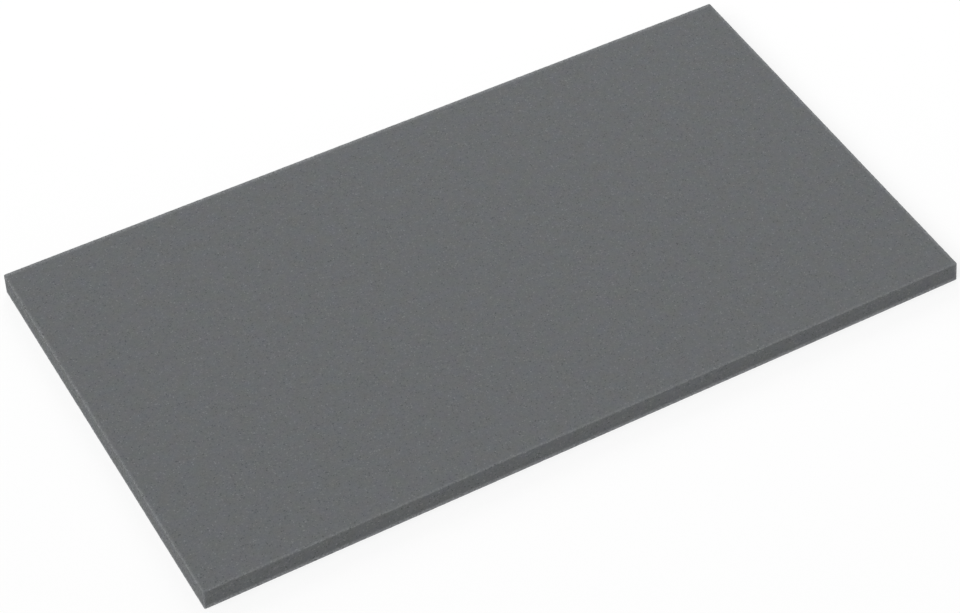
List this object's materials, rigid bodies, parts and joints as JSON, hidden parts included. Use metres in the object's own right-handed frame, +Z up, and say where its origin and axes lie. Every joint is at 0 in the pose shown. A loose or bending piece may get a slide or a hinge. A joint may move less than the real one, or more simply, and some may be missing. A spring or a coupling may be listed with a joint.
{
  "type": "foam insert",
  "caption": "Flat rectangular slab of grey open-cell foam with square-cut sides, laid in a case or drawer as padding.",
  "frame": {"origin": "middle of the underside, on the surface that the slab lies on", "axes": "+Z up through the thickness, +X along the length to the right-hand end, +Y to the back"},
  "size_m": [0.51, 0.278, 0.015],
  "materials": {
    "foam": "matt open-cell foam, mid grey"
  },
  "bodies": {
    "root": {"foam_insert": "foam"}
  },
  "joints": []
}
